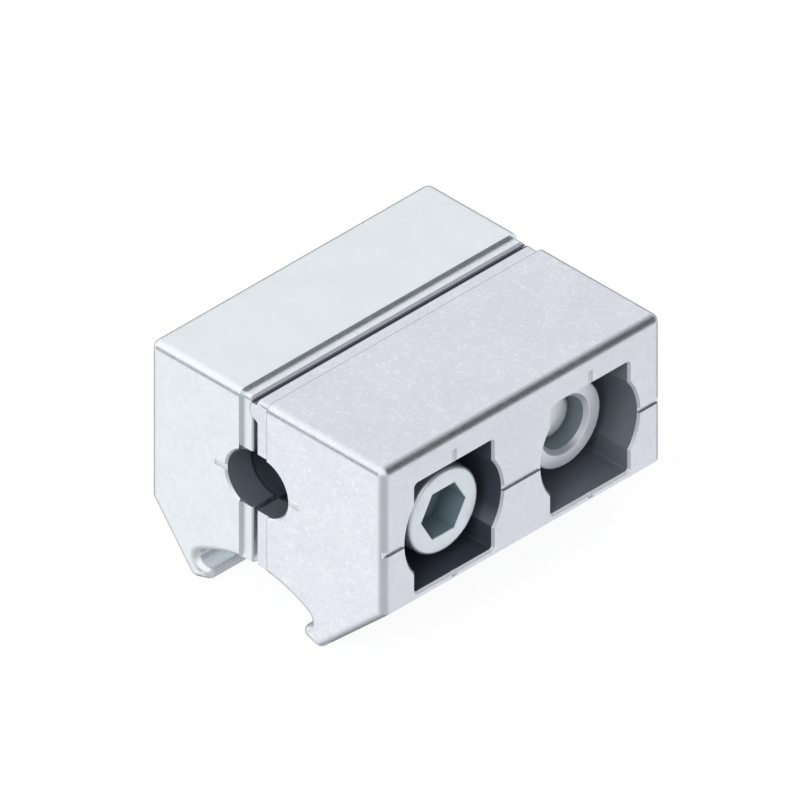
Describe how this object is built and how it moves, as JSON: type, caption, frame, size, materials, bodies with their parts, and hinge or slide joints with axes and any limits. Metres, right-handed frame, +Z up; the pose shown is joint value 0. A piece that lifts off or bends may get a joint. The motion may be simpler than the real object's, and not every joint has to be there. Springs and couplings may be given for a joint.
{
  "type": "clamp block",
  "caption": "Two-jaw clamp block: cast halves rock on a bead along the top parting line, and opposed socket screws draw their hooked lower edges together round a rail.",
  "frame": {"origin": "middle of the base, level with the tips of the two hooks that the block stands on", "axes": "+Y along the rail and the parting line, +X towards the wide jaw, +Z up to the top faces"},
  "size_m": [0.0606, 0.0724, 0.048],
  "materials": {
    "casting": "fine blasted die casting, bright silver",
    "screw_steel": "zinc plated, satin",
    "bush_steel": "zinc plated, satin, turned"
  },
  "bodies": {
    "wide_half": {"wide_jaw": "casting", "rear_bush": "bush_steel"},
    "narrow_half": {"narrow_jaw": "casting", "front_bush": "bush_steel"},
    "front_screw": {"front_screw": "screw_steel"},
    "rear_screw": {"rear_screw": "screw_steel"}
  },
  "joints": [
    {"name": "front_screw_turn", "type": "hinge", "parent": "wide_half", "child": "front_screw", "pos_m": [0.01555, -0.0177, 0.029], "axis": [1, 0, 0], "range_deg": [-56, 56]},
    {"name": "jaw_pivot", "type": "hinge", "parent": "wide_half", "child": "narrow_half", "pos_m": [-0.0031, 0, 0.04475], "axis": [0, 1, 0], "range_deg": [-1, 1]},
    {"name": "rear_screw_turn", "type": "hinge", "parent": "narrow_half", "child": "rear_screw", "pos_m": [-0.01475, 0.0177, 0.029], "axis": [-1, 0, 0], "range_deg": [-56, 56]}
  ],
  "couplings": [
    {"joint": "jaw_pivot", "follows": "front_screw_turn", "ratio": 0.017684},
    {"joint": "rear_screw_turn", "follows": "front_screw_turn", "ratio": 1}
  ]
}
